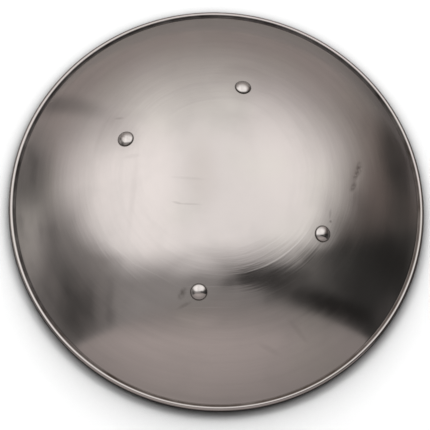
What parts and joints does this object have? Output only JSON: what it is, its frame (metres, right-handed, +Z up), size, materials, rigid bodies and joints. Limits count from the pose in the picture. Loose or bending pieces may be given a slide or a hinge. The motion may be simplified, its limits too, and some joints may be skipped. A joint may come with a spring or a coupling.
{
  "type": "buckler shield",
  "caption": "Small round shield: a shallow domed steel dish with a rolled rim, and two riveted leather straps inside for hand and forearm.",
  "frame": {"origin": "middle of the circle that the rolled rim rests on, at floor height", "axes": "+Z up through the dome's crown, X along both straps, +Y along the forearm towards the hand strap"},
  "size_m": [0.356, 0.356, 0.0635],
  "materials": {
    "dish_steel": "finely buffed, near a mirror, with smoky smudges",
    "rivet_steel": "polished round heads",
    "washer_steel": "plain and dull",
    "strap_leather": "dark brown, waxed grain side, worn edges"
  },
  "bodies": {
    "root": {"dish": "dish_steel", "hand_strap": "strap_leather", "hand_rivet_left": "rivet_steel", "hand_rivet_right": "rivet_steel", "hand_washer_left": "washer_steel", "hand_washer_right": "washer_steel", "arm_strap": "strap_leather", "arm_rivet_left": "rivet_steel", "arm_rivet_right": "rivet_steel", "arm_washer_left": "washer_steel", "arm_washer_right": "washer_steel"}
  },
  "joints": []
}
